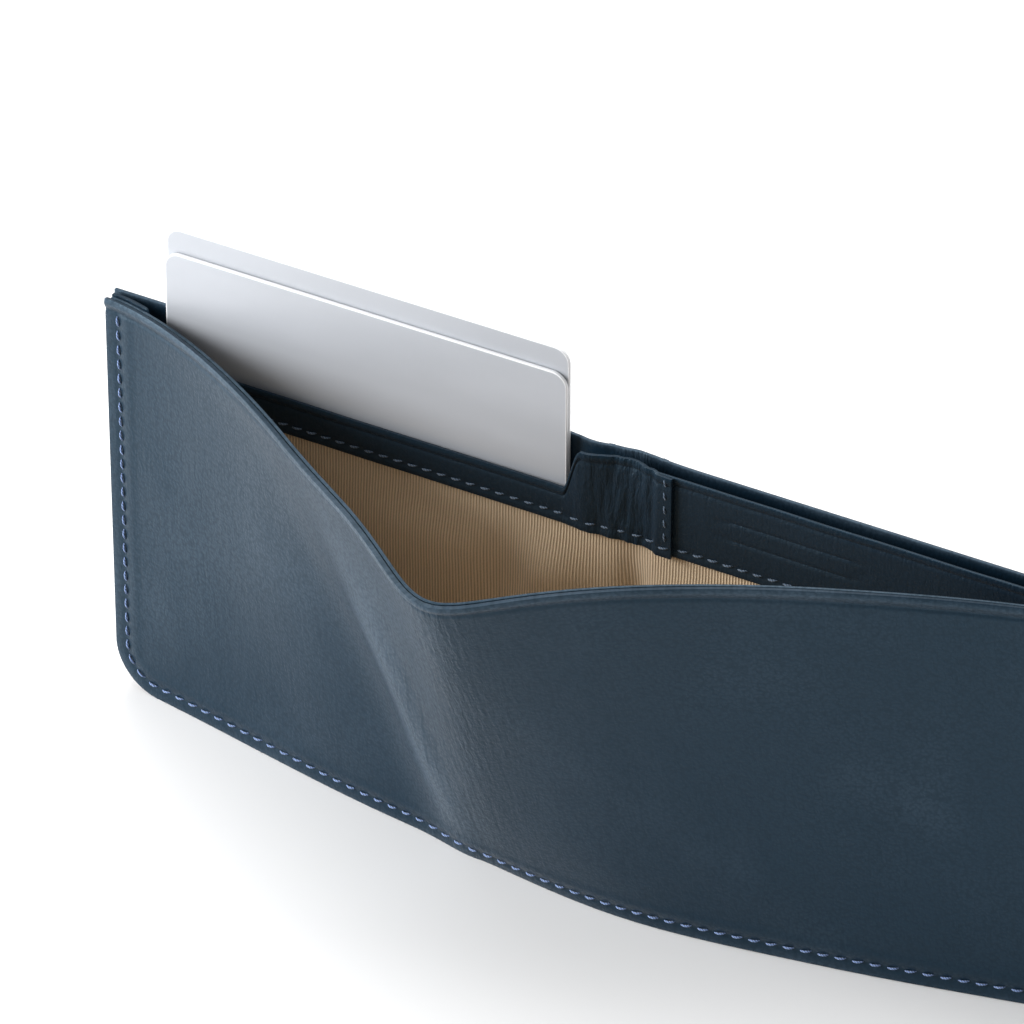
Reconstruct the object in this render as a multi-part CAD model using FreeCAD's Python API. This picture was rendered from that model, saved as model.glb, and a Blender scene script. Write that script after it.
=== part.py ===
import FreeCAD, Part
import math
import os

os.makedirs("parts", exist_ok=True)

# A bifold leather wallet, standing open on its long bottom edge. The fold is vertical. The outer skin
# is pulled out towards -Y at its rim, so the note compartment gapes. The card pockets face +Y.
# All sizes are in millimetres. X runs along the open wallet with the fold at X = 0.

# Overall sizes
LEAF_WIDTH = 112.0        # fold to short edge
HEIGHT = 90.0             # height of the leather
CORNER_RADIUS = 10.0      # outer bottom corners
SPINE_HALF = 6.3          # fold to the edge of each leaf's stiff layers

# Shape of the outer skin
GAPE = 51.0               # how far the rim is pulled out, before its apex is rounded
APEX_X = -16.0            # where the rim is pulled furthest
LEFT_CURVE = 1.5          # power of the rim's curve on the left
RIGHT_CURVE = 1.6         # power of the rim's curve on the right
APEX_SHARPNESS = 9.0      # rounding of the apex, sharper when higher
FOOT_SLOPE_LEFT = 0.155   # how the foot of the skin runs out from the left edge
FOOT_SLOPE_RIGHT = 0.18   # how it runs back to the right edge
FOOT_SHARPNESS = 6.0
RIDGE_TOP_X = -52.0       # soft ridge on the left leaf, at the rim
RIDGE_FOOT_X = -26.0      # the same ridge, at the foot
CREASE_FOOT_X = -22.0     # foot of the crease that falls from the apex

# Thicknesses
SKIN = 1.0
HEM = 0.6
LINING = 0.4
STRIP = 0.8
BACKING = 0.2
PANEL = 0.8
STIFFENER = 0.3
POCKET = 0.7
PLY_GAP = 0.05            # air between two layers of one leaf
BODY_GAP = 0.1            # air on each side of the fold's cut through the skin
FACE_GAP = 0.2            # inside stitching to the fold's axis

# Cards
CARD_LENGTH = 85.6
CARD_HEIGHT = 54.0
CARD_THICKNESS = 0.76
CARD_CORNER = 3.18
CARD_CLEARANCE = 0.15     # card to its neighbours, through the thickness
CARD_SIDE_CLEARANCE = 0.7
CARD_SPINE_SHARE = 0.37   # share of the spare length that lies on the fold's side
FRONT_CARD_RISE = 14.0    # top of the front card above the leather
REAR_CARD_RISE = 19.0

# Card slot and the leather strips along the inner panel
STRIP_HEIGHT = 18.0
NOTCH_DEPTH = 10.0
NOTCH_RUN = 3.5           # length of the sloped ends of the notch
NOTCH_FILLET = 1.5
SLOT_DEPTH = 52.0         # rim of the notch to the sewn bottom of the slot
SLOT_SEAM = 1.0
BACKING_DROP = 2.0        # rim of the notch to the top of the slot's back ply
STIFFENER_INSET = 1.0
OVERLAP_WIDTH = 3.0       # spine strip over the right strip
STRIP_LAP = 2.0           # strip over the top of the tan lining

# Inside pockets, counted from the top
POCKET_COUNT = 3
POCKET_TOP_DROP = 18.0
POCKET_STEP = 14.0
POCKET_TUCK = 10.0
POCKET_NAMES = ("top", "mid", "low")

# Stitching
STITCH_LENGTH = 2.3
STITCH_WIDTH = 0.5
STITCH_THICKNESS = 0.3
OUTER_PITCH = 3.3
STRIP_PITCH = 3.1
STITCH_INSET = 2.8        # edge to the outer stitch line
STITCH_LIFT = 0.06        # air under each stitch

HEM_SHARE = 0.09          # part of the skin's height that the turned hem covers
EDGE_INSET = 0.6          # linings stop this far inside the leather's edges
FLOOR_THICKNESS = 0.4
FLOOR_RAISE = 0.3
FLOOR_CLEARANCE = 0.5

# Layers through a leaf, from the note compartment at -Y to the inside face at +Y.
# Y = 0 is the front of the card slot.
lining_back = -PLY_GAP
lining_front = lining_back - LINING
strip_back = lining_front - PLY_GAP
strip_front = strip_back - STRIP
front_card_y = CARD_CLEARANCE
rear_card_y = front_card_y + CARD_THICKNESS + CARD_CLEARANCE
slot_back = rear_card_y + CARD_THICKNESS + CARD_CLEARANCE
backing_back = slot_back + BACKING
panel_front = backing_back + PLY_GAP
panel_back = panel_front + PANEL
stiffener_front = panel_back + PLY_GAP
stiffener_back = stiffener_front + STIFFENER
pocket_front = [stiffener_back + PLY_GAP + i * (POCKET + PLY_GAP) for i in range(POCKET_COUNT)]
inside_face = pocket_front[-1] + POCKET
fold_axis_y = inside_face + STITCH_LIFT + STITCH_THICKNESS + FACE_GAP
skin_edge = strip_front - PLY_GAP - max(HEM, LINING) - PLY_GAP - SKIN

strip_low = HEIGHT - STRIP_HEIGHT
lining_low = FLOOR_RAISE + FLOOR_THICKNESS + FLOOR_RAISE
notch_rim = HEIGHT - NOTCH_DEPTH
slot_bottom = notch_rim - SLOT_DEPTH
spare_length = LEAF_WIDTH - SPINE_HALF - CARD_LENGTH
card_right = -(SPINE_HALF + CARD_SPINE_SHARE * spare_length)
card_left = card_right - CARD_LENGTH
apex_run_left = LEAF_WIDTH + APEX_X
apex_run_right = LEAF_WIDTH - APEX_X

nodes = {}


def vec(x, y, z):
    return FreeCAD.Vector(x, y, z)


def rounded_least(a, b, sharpness):
    """The lesser of two depths, with the corner where they cross rounded off."""
    if min(a, b) < 1e-6:
        return 0.0
    return (a ** -sharpness + b ** -sharpness) ** (-1.0 / sharpness)


def rim_depth(x):
    left = GAPE * max((x + LEAF_WIDTH) / apex_run_left, 0.0) ** LEFT_CURVE
    right = GAPE * max((LEAF_WIDTH - x) / apex_run_right, 0.0) ** RIGHT_CURVE
    return rounded_least(left, right, APEX_SHARPNESS)


def foot_depth(x):
    left = FOOT_SLOPE_LEFT * (x + LEAF_WIDTH)
    right = FOOT_SLOPE_RIGHT * (LEAF_WIDTH - x)
    return rounded_least(left, right, FOOT_SHARPNESS)


def foot_x(x):
    """The X at the foot of the straight line in the skin that meets the rim at x."""
    tops = (-LEAF_WIDTH, RIDGE_TOP_X, APEX_X, 0.0, LEAF_WIDTH)
    feet = (-LEAF_WIDTH, RIDGE_FOOT_X, CREASE_FOOT_X, 0.0, LEAF_WIDTH)
    for i in range(len(tops) - 1):
        if x <= tops[i + 1] or i == len(tops) - 2:
            share = (x - tops[i]) / (tops[i + 1] - tops[i])
            return feet[i] + share * (feet[i + 1] - feet[i])


def skin_line(x):
    """Foot and rim of the skin's outer face. Every such line is as long as the leather is high."""
    bx = foot_x(x)
    foot = vec(bx, skin_edge - foot_depth(bx), 0.0)
    rim_y = skin_edge - rim_depth(x)
    lean = (x - bx) ** 2 + (rim_y - foot.y) ** 2
    return foot, vec(x, rim_y, math.sqrt(HEIGHT ** 2 - lean))


def skin_normal(x):
    """Level outward direction, halfway up the line that meets the rim at x."""
    step = 0.5
    foot_a, rim_a = skin_line(max(x - step, -LEAF_WIDTH))
    foot_b, rim_b = skin_line(min(x + step, LEAF_WIDTH))
    foot, rim = skin_line(x)
    along = (foot_b + rim_b) - (foot_a + rim_a)
    normal = along.cross(rim - foot)
    normal.z = 0.0
    normal.normalize()
    if normal.y > 0:
        normal = normal * -1.0
    return normal


def skin_point(x, share, depth):
    """A point at a share of the way up from the foot, and at a depth inside the outer face."""
    foot, rim = skin_line(x)
    return foot + (rim - foot) * share - skin_normal(x) * depth


def skin_stations(x_from, x_to):
    spread = 9
    wanted = [LEAF_WIDTH * i / spread for i in range(-spread, spread + 1)]
    wanted += [APEX_X + 3.0 * i for i in range(-4, 5)]
    wanted += [RIDGE_TOP_X]
    chosen = [x_from]
    for x in sorted(wanted):
        if x - chosen[-1] > 1.5 and x_to - x > 1.5:
            chosen.append(x)
    return chosen + [x_to]


def skin_sheet(x_from, x_to, near, far, low, high):
    """A layer of the skin between two depths and two heights, as one lofted solid."""
    wires = []
    for x in skin_stations(x_from, x_to):
        corners = [
            skin_point(x, low, near),
            skin_point(x, high, near),
            skin_point(x, high, far),
            skin_point(x, low, far),
        ]
        wires.append(Part.makePolygon(corners + corners[:1]))
    return Part.makeLoft(wires, True, True)


def plate(x_from, x_to, y_from, y_to, z_from, z_to):
    size = (abs(x_to - x_from), y_to - y_from, z_to - z_from)
    return Part.makeBox(size[0], size[1], size[2], vec(min(x_from, x_to), y_from, z_from))


def corner_cutter(side):
    """What is cut away to round the outer bottom corner of a leaf."""
    reach = 60.0
    over = 5.0
    centre_x = side * (LEAF_WIDTH - CORNER_RADIUS)
    block = plate(centre_x, side * (LEAF_WIDTH + over), -reach, reach, -over, CORNER_RADIUS)
    base = vec(centre_x, -reach, CORNER_RADIUS)
    round_bar = Part.makeCylinder(CORNER_RADIUS, 2 * reach, base, vec(0, 1, 0))
    return block.cut(round_bar)


def fillet_along_y(solid, radius, wanted):
    edges = []
    for edge in solid.Edges:
        first = edge.Vertexes[0].Point
        last = edge.Vertexes[-1].Point
        if abs(first.x - last.x) < 1e-6 and abs(first.z - last.z) < 1e-6 and wanted(first):
            edges.append(edge)
    return solid.makeFillet(radius, edges)


def stitches(path, pitch, place):
    """Stitches along a path of (x, z) points. place gives the surface point and normal there."""
    solids = []
    travelled = 0.0
    wanted = pitch / 2.0
    probe = 0.01
    for (x, z), (next_x, next_z) in zip(path, path[1:]):
        step = math.hypot(next_x - x, next_z - z)
        way_x = (next_x - x) / step
        way_z = (next_z - z) / step
        while wanted <= travelled + step:
            done = wanted - travelled
            centre, normal = place(x + way_x * done, z + way_z * done)
            ahead, _ = place(x + way_x * (done + probe), z + way_z * (done + probe))
            solids.append(stitch(centre, ahead - centre, normal))
            wanted += pitch
        travelled += step
    return Part.makeCompound(solids)


def stitch(centre, along, normal):
    along = along * (1.0 / along.Length)
    across = normal.cross(along)
    across.normalize()
    along = across.cross(normal)
    corner = vec(-STITCH_LENGTH / 2.0, -STITCH_WIDTH / 2.0, STITCH_LIFT)
    bar = Part.makeBox(STITCH_LENGTH, STITCH_WIDTH, STITCH_THICKNESS, corner)
    matrix = FreeCAD.Matrix(
        along.x, across.x, normal.x, centre.x,
        along.y, across.y, normal.y, centre.y,
        along.z, across.z, normal.z, centre.z,
        0, 0, 0, 1)
    return bar.transformGeometry(matrix)


def edge_path(side):
    """Down the short edge, round the corner and along the bottom to the fold."""
    spacing = 1.0
    edge_x = LEAF_WIDTH - STITCH_INSET
    top = HEIGHT - STITCH_INSET
    radius = CORNER_RADIUS - STITCH_INSET
    path = []
    for i in range(int((top - CORNER_RADIUS) / spacing)):
        path.append((edge_x, top - i * spacing))
    for i in range(13):
        turn = math.radians(90.0) * i / 12.0
        x = LEAF_WIDTH - CORNER_RADIUS + radius * math.cos(turn)
        path.append((x, CORNER_RADIUS - radius * math.sin(turn)))
    run = LEAF_WIDTH - CORNER_RADIUS - STITCH_INSET
    for i in range(1, int(run / spacing) + 1):
        path.append((LEAF_WIDTH - CORNER_RADIUS - i * spacing, STITCH_INSET))
    return [(side * x, z) for x, z in path]


def on_skin(x, z):
    """The skin's outer face as it is lofted: flat strips between neighbouring lines."""
    share = z / HEIGHT
    lines = skin_stations(-LEAF_WIDTH, -BODY_GAP) if x < 0 else skin_stations(BODY_GAP, LEAF_WIDTH)
    for first, second in zip(lines, lines[1:]):
        near = skin_point(first, share, 0.0)
        far = skin_point(second, share, 0.0)
        if x <= far.x or second == lines[-1]:
            break
    foot, rim = skin_line((first + second) / 2.0)
    normal = (far - near).cross(rim - foot)
    normal.normalize()
    if normal.y > 0:
        normal = normal * -1.0
    return near + (far - near) * ((x - near.x) / (far.x - near.x)), normal


def on_strip(x, z):
    return vec(x, strip_front, z), vec(0, -1, 0)


def on_overlap(x, z):
    return vec(x, strip_front - STRIP, z), vec(0, -1, 0)


def on_inside(x, z):
    """The stepped inside face: each pocket's face, and the back panel above the top pocket."""
    y = panel_back
    for i in range(POCKET_COUNT):
        if z < pocket_top(i) + STITCH_LENGTH / 2.0:
            y = pocket_front[i] + POCKET
    return vec(x, y, z), vec(0, 1, 0)


def pocket_top(i):
    return HEIGHT - POCKET_TOP_DROP - i * POCKET_STEP


def leather_skin(side, word):
    """Outer skin, its turned hem and its lining, for one leaf."""
    x_from, x_to = (-LEAF_WIDTH, -BODY_GAP) if side < 0 else (BODY_GAP, LEAF_WIDTH)
    inner = SKIN + PLY_GAP
    inset = (EDGE_INSET, 0.0) if side < 0 else (0.0, EDGE_INSET)
    x_low = x_from + inset[0]
    x_high = x_to - inset[1]
    gap_share = PLY_GAP / HEIGHT
    hem_low = 1.0 - HEM_SHARE
    cutter = corner_cutter(side)
    skin = skin_sheet(x_from, x_to, 0.0, SKIN, 0.0, 1.0)
    hem = skin_sheet(x_low, x_high, inner, inner + HEM, hem_low, 1.0 - gap_share)
    lining = skin_sheet(x_low, x_high, inner, inner + LINING, EDGE_INSET / HEIGHT, hem_low - gap_share)
    nodes["outer_skin_" + word] = skin.cut(cutter)
    nodes["outer_hem_" + word] = hem
    nodes["outer_lining_" + word] = lining.cut(cutter)


def compartment_floor(side, word):
    """Fabric that closes the note compartment between the foot of the skin and the inner panel."""
    front = strip_front - PLY_GAP
    clear = SKIN + LINING + FLOOR_CLEARANCE
    steps = 24
    outline = []
    for i in range(steps + 1):
        x = BODY_GAP + (LEAF_WIDTH - CORNER_RADIUS) * i / steps
        y = skin_edge - foot_depth(side * x) + clear
        if y < front - FLOOR_CLEARANCE:
            outline.append(vec(side * x, y, FLOOR_RAISE))
    last_x = outline[-1].x
    outline.append(vec(last_x, front, FLOOR_RAISE))
    outline.append(vec(side * BODY_GAP, front, FLOOR_RAISE))
    face = Part.Face(Part.makePolygon(outline + outline[:1]))
    nodes["note_floor_" + word] = face.extrude(vec(0, 0, FLOOR_THICKNESS))


def leaf_layers(side, word):
    """The flat layers of one leaf, from the note lining to the inside pockets."""
    near = side * SPINE_HALF
    far = side * LEAF_WIDTH
    far_in = side * (LEAF_WIDTH - EDGE_INSET)
    cutter = corner_cutter(side)
    lining_top = strip_low + STRIP_LAP
    seam_far = side * (LEAF_WIDTH - STITCH_INSET - SLOT_SEAM)
    lining = plate(near, far_in, lining_front, lining_back, lining_low, lining_top)
    nodes["note_lining_" + word] = lining.cut(cutter)
    backing_top = notch_rim - BACKING_DROP
    backing_low = slot_bottom - SLOT_SEAM
    nodes["slot_backing_" + word] = plate(near, far_in, slot_back, backing_back, backing_low, backing_top)
    seam_back = slot_back - PLY_GAP
    slot_foot = plate(near, seam_far, 0.0, seam_back, slot_bottom - SLOT_SEAM, slot_bottom)
    side_near = side * (LEAF_WIDTH - STITCH_INSET)
    side_seam = plate(side_near, far_in, 0.0, seam_back, CORNER_RADIUS, HEIGHT - SLOT_SEAM)
    foot_far = side * (LEAF_WIDTH - CORNER_RADIUS)
    foot_seam = plate(near, foot_far, 0.0, seam_back, EDGE_INSET, STITCH_INSET)
    nodes["slot_seam_" + word] = Part.makeCompound([slot_foot, side_seam, foot_seam])
    nodes["back_panel_" + word] = plate(near, far, panel_front, panel_back, 0.0, HEIGHT).cut(cutter)
    stiff_far = side * (LEAF_WIDTH - STITCH_INSET - STIFFENER_INSET)
    stiff_top = pocket_top(0) - STIFFENER_INSET
    stiffener = plate(near, stiff_far, stiffener_front, stiffener_back, CORNER_RADIUS, stiff_top)
    nodes["stiffener_" + word] = stiffener
    for i in range(POCKET_COUNT):
        low = pocket_top(i) - POCKET_STEP - POCKET_TUCK
        if i == POCKET_COUNT - 1:
            low = 0.0
        layer = plate(near, far, pocket_front[i], pocket_front[i] + POCKET, low, pocket_top(i))
        if i == POCKET_COUNT - 1:
            layer = layer.cut(cutter)
        nodes["pocket_" + POCKET_NAMES[i] + "_" + word] = layer


def slot_strip():
    """Leather strip over the card slot, with its top edge notched so that the cards can be reached."""
    notch_left = card_left - CARD_SIDE_CLEARANCE
    notch_right = card_right + CARD_SIDE_CLEARANCE
    run = NOTCH_RUN
    outline = [
        (-LEAF_WIDTH + EDGE_INSET, strip_low), (-SPINE_HALF, strip_low), (-SPINE_HALF, HEIGHT),
        (notch_right + run, HEIGHT), (notch_right, notch_rim), (notch_left, notch_rim),
        (notch_left - run, HEIGHT), (-LEAF_WIDTH + EDGE_INSET, HEIGHT),
    ]
    points = [vec(x, strip_front, z) for x, z in outline]
    face = Part.Face(Part.makePolygon(points + points[:1]))
    solid = face.extrude(vec(0, STRIP, 0))
    in_notch = lambda p: notch_left - run - 1e-3 < p.x < notch_right + run + 1e-3 and p.z > strip_low + 1.0
    nodes["slot_strip_left"] = fillet_along_y(solid, NOTCH_FILLET, in_notch)


def right_strip_and_spine():
    strip_far = LEAF_WIDTH - EDGE_INSET
    nodes["top_strip_right"] = plate(SPINE_HALF, strip_far, strip_front, strip_back, strip_low, HEIGHT)
    spine_edge = SPINE_HALF - 0.3
    body = plate(-spine_edge, spine_edge, strip_front, strip_back, strip_low, HEIGHT)
    lap_from = spine_edge - 1.0
    lap_to = SPINE_HALF + OVERLAP_WIDTH
    lap = plate(lap_from, lap_to, strip_front - STRIP, strip_front - PLY_GAP, strip_low, HEIGHT)
    joint = plate(lap_from, spine_edge, strip_front - STRIP, strip_back, strip_low, HEIGHT)
    nodes["spine_strip"] = body.fuse(joint).fuse(lap).removeSplitter()
    lining_top = strip_low + STRIP_LAP
    nodes["spine_lining"] = plate(-spine_edge, spine_edge, lining_front, lining_back, lining_low, lining_top)
    nodes["spine_inner_strip"] = plate(-spine_edge, spine_edge, panel_front, panel_back, 0.0, HEIGHT)


def cards():
    for word, y, rise in (("front", front_card_y, FRONT_CARD_RISE), ("rear", rear_card_y, REAR_CARD_RISE)):
        top = HEIGHT + rise
        blank = plate(card_left, card_right, y, y + CARD_THICKNESS, top - CARD_HEIGHT, top)
        nodes["card_" + word] = fillet_along_y(blank, CARD_CORNER, lambda p: True)


def thread():
    strip_z = strip_low + STRIP_LAP
    lap_edge = SPINE_HALF + OVERLAP_WIDTH
    left_run = int(LEAF_WIDTH - STITCH_INSET - SPINE_HALF)
    right_run = int(LEAF_WIDTH - STITCH_INSET - lap_edge)
    left_path = [(-LEAF_WIDTH + STITCH_INSET + i, strip_z) for i in range(left_run)]
    right_path = [(lap_edge + i, strip_z) for i in range(right_run)]
    seam_x = SPINE_HALF + OVERLAP_WIDTH / 2.0
    seam_path = [(seam_x, strip_low + 0.5 + i) for i in range(int(STRIP_HEIGHT))]
    nodes["thread_strip_left"] = stitches(left_path, STRIP_PITCH, on_strip)
    nodes["thread_strip_right"] = stitches(right_path, STRIP_PITCH, on_strip)
    nodes["thread_seam"] = stitches(seam_path, STRIP_PITCH, on_overlap)
    for side, word in ((-1, "left"), (1, "right")):
        nodes["thread_outer_" + word] = stitches(edge_path(side), OUTER_PITCH, on_skin)
        inner_path = [(x, z) for x, z in edge_path(side) if abs(x) > SPINE_HALF + STITCH_LENGTH]
        nodes["thread_inner_" + word] = stitches(inner_path, OUTER_PITCH, on_inside)


for leaf_side, leaf_word in ((-1, "left"), (1, "right")):
    leather_skin(leaf_side, leaf_word)
    compartment_floor(leaf_side, leaf_word)
    leaf_layers(leaf_side, leaf_word)
slot_strip()
right_strip_and_spine()
cards()
thread()

# The origin is the middle of the whole object's footprint, on the surface that it stands on.
box = Part.makeCompound(list(nodes.values())).BoundBox
shift = vec(0.0, -(box.YMin + box.YMax) / 2.0, 0.0)
for name, shape in nodes.items():
    shape.translate(shift)
    shape.exportStep("parts/" + name + ".step")
    if not shape.isValid():
        print("not valid:", name)
print("nodes", len(nodes))
print("fold axis at y =", round(fold_axis_y + shift.y, 4), "mm; shift", round(shift.y, 4), "mm")
card_bottoms = (HEIGHT + FRONT_CARD_RISE - CARD_HEIGHT, HEIGHT + REAR_CARD_RISE - CARD_HEIGHT)
print("bottom of the slot at z =", slot_bottom, "card bottoms at z =", card_bottoms)
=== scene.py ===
"""A bifold leather wallet, standing open on its long edge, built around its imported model."""

import math

import bmesh
import bpy
import numpy as np
from mathutils import Matrix, Vector
from mathutils import noise as fractal


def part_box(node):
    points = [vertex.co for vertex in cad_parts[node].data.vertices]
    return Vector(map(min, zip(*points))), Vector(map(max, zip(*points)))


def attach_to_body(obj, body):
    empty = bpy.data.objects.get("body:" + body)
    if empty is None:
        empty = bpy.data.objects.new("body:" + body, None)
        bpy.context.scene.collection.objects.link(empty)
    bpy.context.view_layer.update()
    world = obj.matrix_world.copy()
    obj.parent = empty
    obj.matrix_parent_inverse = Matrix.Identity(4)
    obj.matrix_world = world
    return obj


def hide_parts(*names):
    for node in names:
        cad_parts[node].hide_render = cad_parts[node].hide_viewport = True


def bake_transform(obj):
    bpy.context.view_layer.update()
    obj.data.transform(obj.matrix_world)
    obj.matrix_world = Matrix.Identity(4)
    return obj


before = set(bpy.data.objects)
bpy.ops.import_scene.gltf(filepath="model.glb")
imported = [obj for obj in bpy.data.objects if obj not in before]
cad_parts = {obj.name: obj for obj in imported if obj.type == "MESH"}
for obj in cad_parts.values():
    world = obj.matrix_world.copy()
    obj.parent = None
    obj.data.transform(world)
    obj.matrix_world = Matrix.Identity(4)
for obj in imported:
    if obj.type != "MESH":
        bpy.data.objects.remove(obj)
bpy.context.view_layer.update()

bl_info = {
    "name": "Bifold wallet",
    "version": (1, 0, 0),
    "blender": (4, 5, 0),
    "location": "View3D > Sidebar > Wallet",
    "description": "Leather, lining, stitching and cards of a bifold wallet",
    "category": "Add Mesh",
}

MM = 0.001
CLOSING = 1.9 * MM       # how far the layers are drawn back at the short edges
LAP_PROUD = 0.85 * MM    # how far the lap stands off the right strip
FOLD_REACH = 16 * MM     # reach from the fold given to the stitching rows by default, which they do not use
LEFT = "left_leaf"
RIGHT = "right_leaf"


def low(node):
    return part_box(node)[0]


def high(node):
    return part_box(node)[1]


# Places of the layers, from the frame
LEAF = high("back_panel_right").x
HEIGHT = high("back_panel_right").z
STRIP_FRONT = low("slot_strip_left").y
STRIP_LOW = low("slot_strip_left").z
LINING_FRONT = low("note_lining_left").y
PANEL_FRONT = low("back_panel_left").y
PANEL_BACK = high("back_panel_left").y
SPINE_EDGE = high("spine_lining").x
LAP_EDGE = high("spine_strip").x
CARD_LEFT = low("card_front").x
CARD_RIGHT = high("card_front").x
POCKETS = ("top", "mid", "low")


def length(name, description, millimetres):
    return bpy.props.FloatProperty(
        name=name, description=description, default=millimetres * MM, unit="LENGTH")


class WalletSizes(bpy.types.PropertyGroup):
    """Sizes of the soft parts."""

    gape: length("Gape", "How far the rim of the skin is pulled out, before its apex is rounded", 51)
    apex_x: length("Apex", "Place of the rim's apex along the wallet", -16)
    ridge_top: length("Ridge at the rim", "Where the soft ridge leaves the rim", -52)
    ridge_foot: length("Ridge at the foot", "Where the soft ridge meets the foot", -26)
    crease_foot: length("Crease at the foot", "Where the crease from the apex meets the foot", -22)
    ridge_height: length("Ridge height", "How far the soft ridge stands out", 2.7)
    skin: length("Skin", "Thickness of the outer leather", 1.0)
    hem: length("Hem", "Thickness of the turned hem", 0.6)
    hem_width: length("Hem width", "Height of the turned hem", 8)
    corner: length("Corner", "Radius of the bottom corners", 10)
    stitch_inset: length("Stitch inset", "Edge to the outer stitch line", 2.8)
    outer_pitch: length("Outer pitch", "Pitch of the outer stitching", 3.3)
    strip_pitch: length("Strip pitch", "Pitch of the stitching on the strips", 3.1)
    stitch_length: length("Stitch length", "Length of one stitch", 2.2)
    stitch_width: length("Stitch width", "Thickness of the thread", 0.42)
    notch_depth: length("Notch depth", "How far the strip is cut down over the cards", 10)
    notch_run: length("Notch run", "Length of the sloped ends of the notch", 3.5)
    card_corner: length("Card corner", "Corner radius of the cards", 3.18)


def tint(name, description, default):
    return bpy.props.FloatVectorProperty(
        name=name, description=description, default=default, size=3, subtype="COLOR", min=0.0, max=1.0)


class WalletColours(bpy.types.PropertyGroup):
    """Colours of the finishes."""

    leather: tint("Leather", "Navy leather", (0.005, 0.017, 0.032))
    # Worn leather: also paints the highlight along the outer skin's soft ridge.
    leather_worn: tint("Worn leather", "Leather where it is bent and rubbed", (0.036, 0.058, 0.084))
    leather_inside: tint("Strip leather", "Darker leather of the strips and the hem", (0.008, 0.017, 0.029))
    lining: tint("Lining", "Tan lining", (0.74, 0.59, 0.42))
    # Painted shade in the valleys of the lining's ribs.
    lining_rib_shade: tint("Lining shade", "Valleys of the lining's ribs", (0.44, 0.34, 0.225))
    thread: tint("Thread", "Blue thread", (0.20, 0.31, 0.60))
    thread_pale: tint("Pale thread", "Thread on the strips", (0.10, 0.16, 0.25))
    card: tint("Card", "Blank cards", (0.41, 0.43, 0.465))
    board: tint("Board", "Dyed stiffener board", (0.020, 0.027, 0.036))
    floor: tint("Floor", "Pale floor", (0.93, 0.93, 0.93))


# ------------------------------------------------------------------ shader writing


class Value:
    """A shader socket. Arithmetic on it adds Math nodes."""

    def __init__(self, finish, socket):
        self.finish = finish
        self.socket = socket

    def _math(self, operation, first, second):
        node = self.finish.tree.nodes.new("ShaderNodeMath")
        node.operation = operation
        for place, term in enumerate((first, second)):
            self.finish.feed(node.inputs[place], term)
        return Value(self.finish, node.outputs[0])

    def __add__(self, other):
        return self._math("ADD", self, other)

    __radd__ = __add__

    def __sub__(self, other):
        return self._math("SUBTRACT", self, other)

    def __rsub__(self, other):
        return self._math("SUBTRACT", other, self)

    def __mul__(self, other):
        return self._math("MULTIPLY", self, other)

    __rmul__ = __mul__


class Finish:
    """A material under construction."""

    def __init__(self, name):
        self.material = bpy.data.materials.new(name)
        self.material.use_nodes = True
        self.tree = self.material.node_tree
        self.shader = self.tree.nodes["Principled BSDF"]

    def feed(self, socket, term):
        if isinstance(term, Value):
            self.tree.links.new(term.socket, socket)
        else:
            socket.default_value = term

    def node(self, kind, settings=None, inputs=None, output=0):
        """Adds a node of a type, sets its settings, then its inputs by name or number."""
        node = self.tree.nodes.new("ShaderNode" + kind)
        for key, value in (settings or {}).items():
            if key == "stops":
                for place, (position, colour) in enumerate(value):
                    elements = node.color_ramp.elements
                    stop = elements[place] if place < 2 else elements.new(position)
                    stop.position = position
                    stop.color = (*colour[:3], 1.0)
            else:
                setattr(node, key, value)
        for key, term in (inputs or {}).items():
            self.feed(node.inputs[key], term)
        return Value(self, node.outputs[output])

    def mix(self, factor, first, second):
        pair = [(*c, 1.0) if isinstance(c, tuple) and len(c) == 3 else c for c in (first, second)]
        return self.node("Mix", {"data_type": "RGBA"}, {0: factor, 6: pair[0], 7: pair[1]}, 2)

    def smooth(self, value, start, end):
        settings = {"interpolation_type": "SMOOTHSTEP"}
        return self.node("MapRange", settings, {0: value, 1: start, 2: end})

    def stretched(self, vector, scale, turn=0.0):
        return self.node("Mapping", None, {"Vector": vector, "Scale": scale, "Rotation": (0.0, 0.0, turn)})

    def cloudy(self, vector, scale, detail=2.0, roughness=0.5):
        inputs = {"Vector": vector, "Scale": scale, "Detail": detail, "Roughness": roughness}
        return self.node("TexNoise", None, inputs)

    def bump(self, height, distance, strength=1.0, normal=None):
        inputs = {"Height": height, "Distance": distance, "Strength": strength}
        if normal is not None:
            inputs["Normal"] = normal
        return self.node("Bump", None, inputs)

    def done(self, constants=None, **varying):
        """Sets the shader's constant sockets, then links what varies over the surface."""
        for key, value in (constants or {}).items():
            self.shader.inputs[key].default_value = value
        for key, value in varying.items():
            self.tree.links.new(value.socket, self.shader.inputs[key.replace("_", " ")])
        return self.material


def colour(scene, name):
    return tuple(getattr(scene.wallet_colours, name))


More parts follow.
